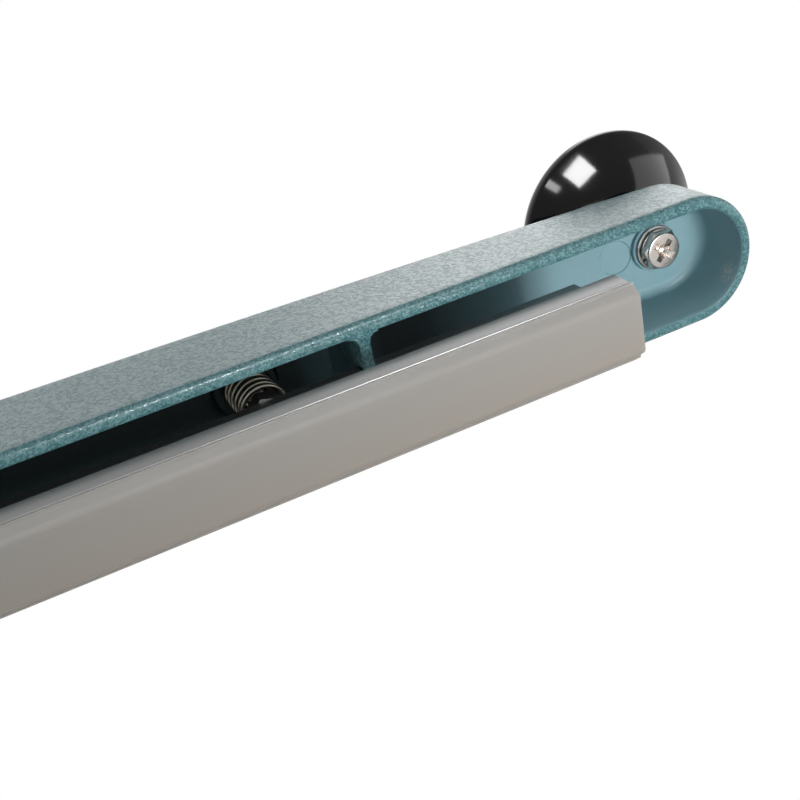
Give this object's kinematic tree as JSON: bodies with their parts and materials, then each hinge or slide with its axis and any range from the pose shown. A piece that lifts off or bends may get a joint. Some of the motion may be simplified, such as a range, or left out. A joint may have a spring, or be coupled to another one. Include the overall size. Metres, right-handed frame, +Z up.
{
  "type": "impulse sealer press arm",
  "caption": "Arched channel arm of a hand impulse sealer, with a mushroom knob and a sprung pressing bar that holds a silicone strip; it pivots on a hinge pin.",
  "frame": {"origin": "middle of the hinge bore, on the arm's centre plane", "axes": "+X runs from the hinge to the knob end, +Y along the hinge pin to the arm's left side, +Z up through the knob; the strip's face looks down -Z"},
  "size_m": [0.2943, 0.0446, 0.0577],
  "materials": {
    "cast_arm": "fine wrinkle enamel outside, smoother inside",
    "knob_resin": "polished moulding",
    "insert_brass": "turned",
    "plated_screw": "bright nickel plating",
    "zinc_steel": "dull zinc plating",
    "spring_steel": "drawn wire",
    "bar_aluminium": "extruded, matte",
    "silicone": "matte silicone rubber"
  },
  "bodies": {
    "arm": {"arm_casting": "cast_arm", "knob": "knob_resin", "knob_insert": "insert_brass", "knob_screw": "plated_screw", "knob_lock_washer": "zinc_steel", "knob_flat_washer": "zinc_steel", "guide_washer_front": "zinc_steel", "guide_washer_rear": "zinc_steel", "spring_front": "spring_steel", "spring_rear": "spring_steel"},
    "press_bar": {"bar_holder": "bar_aluminium", "silicone_strip": "silicone", "guide_screw_front": "plated_screw", "guide_screw_rear": "plated_screw", "spring_nut_front": "zinc_steel", "spring_nut_rear": "zinc_steel"}
  },
  "joints": [
    {"name": "bar_float", "type": "slide", "parent": "arm", "child": "press_bar", "axis": [0, 0, 1], "range_m": [0, 0.004], "stiffness_N_per_m": 5100, "springref_m": -0.0056, "deforming": ["spring_front", "spring_rear"]}
  ]
}
